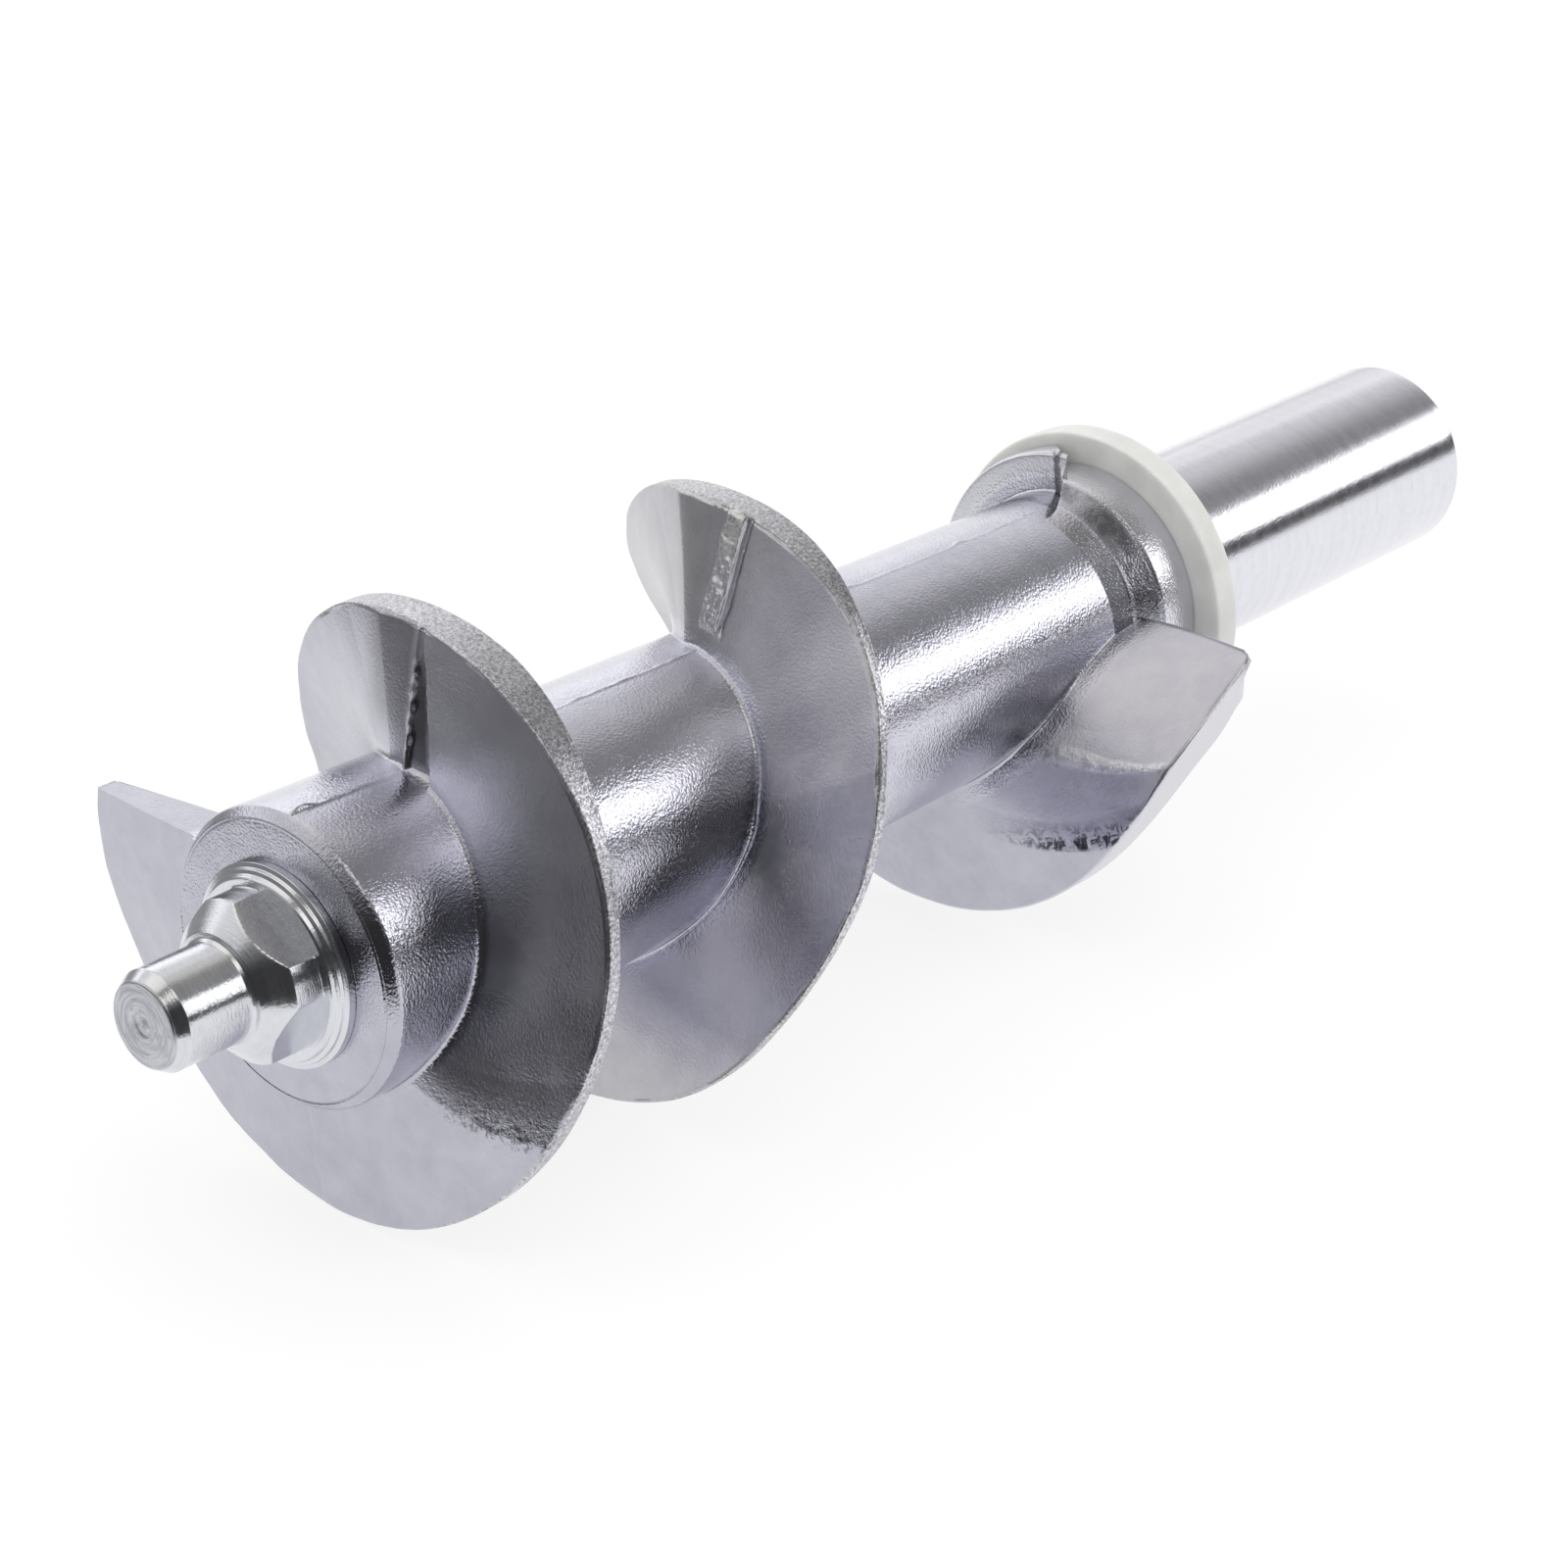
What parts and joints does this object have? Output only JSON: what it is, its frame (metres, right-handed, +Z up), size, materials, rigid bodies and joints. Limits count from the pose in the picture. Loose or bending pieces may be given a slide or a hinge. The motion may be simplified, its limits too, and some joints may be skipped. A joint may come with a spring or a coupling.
{
  "type": "meat grinder auger",
  "caption": "Screw-shaped feed auger for a meat grinder: a cast aluminium helix on a tapered hub, with a steel knife spindle, a nylon thrust washer and a smooth drive journal.",
  "frame": {"origin": "on the rotation axis, at the middle of the bearing stretch of the drive journal", "axes": "+X along the rotation axis towards the drive end, the knife end points to -X; +Z up as the auger lies on its side"},
  "size_m": [0.1601, 0.046, 0.046],
  "materials": {
    "cast_aluminium": "satin die cast skin with an orange-peel texture",
    "turned_steel": "bright turned steel",
    "polished_journal": "smooth ground and polished",
    "nylon_washer": "milky natural nylon, slightly translucent"
  },
  "bodies": {
    "screw": {"auger_casting": "cast_aluminium", "knife_spindle": "turned_steel", "drive_journal": "polished_journal"},
    "washer": {"thrust_washer": "nylon_washer"}
  },
  "joints": [
    {"name": "washer_spin", "type": "hinge", "parent": "screw", "child": "washer", "pos_m": [-0.0249, 0, 0], "axis": [1, 0, 0], "continuous": true}
  ]
}
